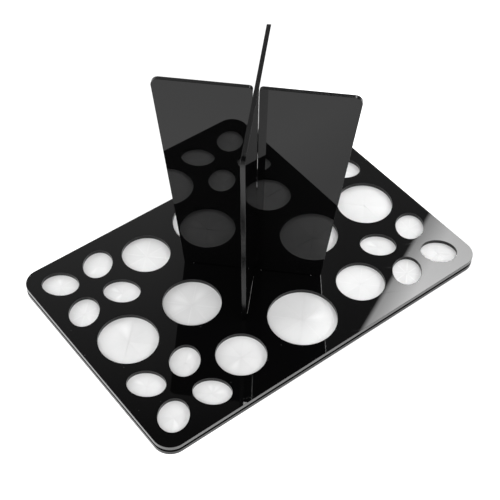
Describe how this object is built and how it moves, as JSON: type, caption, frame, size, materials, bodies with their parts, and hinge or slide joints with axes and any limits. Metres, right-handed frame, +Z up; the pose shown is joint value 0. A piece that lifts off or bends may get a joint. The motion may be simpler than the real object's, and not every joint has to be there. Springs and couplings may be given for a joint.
{
  "type": "brush drying rack",
  "caption": "Flat-pack brush drying rack: two perforated acrylic plates with a slit elastic membrane between them, on two crossing slotted panels.",
  "frame": {"origin": "centre of the lower plate's underside, on the surface it lies on", "axes": "+X along the plates' long side, +Y along their short side, +Z up, out of the plates towards the wide ends of the panels"},
  "size_m": [0.28, 0.182, 0.178],
  "materials": {
    "black_acrylic": "polished black acrylic sheet",
    "white_elastic": "matt white, slightly translucent elastic sheet"
  },
  "bodies": {
    "plates": {"lower_plate": "black_acrylic", "upper_plate": "black_acrylic", "elastic_membrane": "white_elastic"},
    "lower_panel": {"cross_panel_lower": "black_acrylic"},
    "upper_panel": {"cross_panel_upper": "black_acrylic"}
  },
  "joints": [
    {"name": "lower_panel_lift", "type": "slide", "parent": "plates", "child": "lower_panel", "axis": [0, 0, 1], "range_m": [0, 0.03]},
    {"name": "upper_panel_lift", "type": "slide", "parent": "lower_panel", "child": "upper_panel", "axis": [0, 0, 1], "range_m": [0, 0.19]}
  ]
}
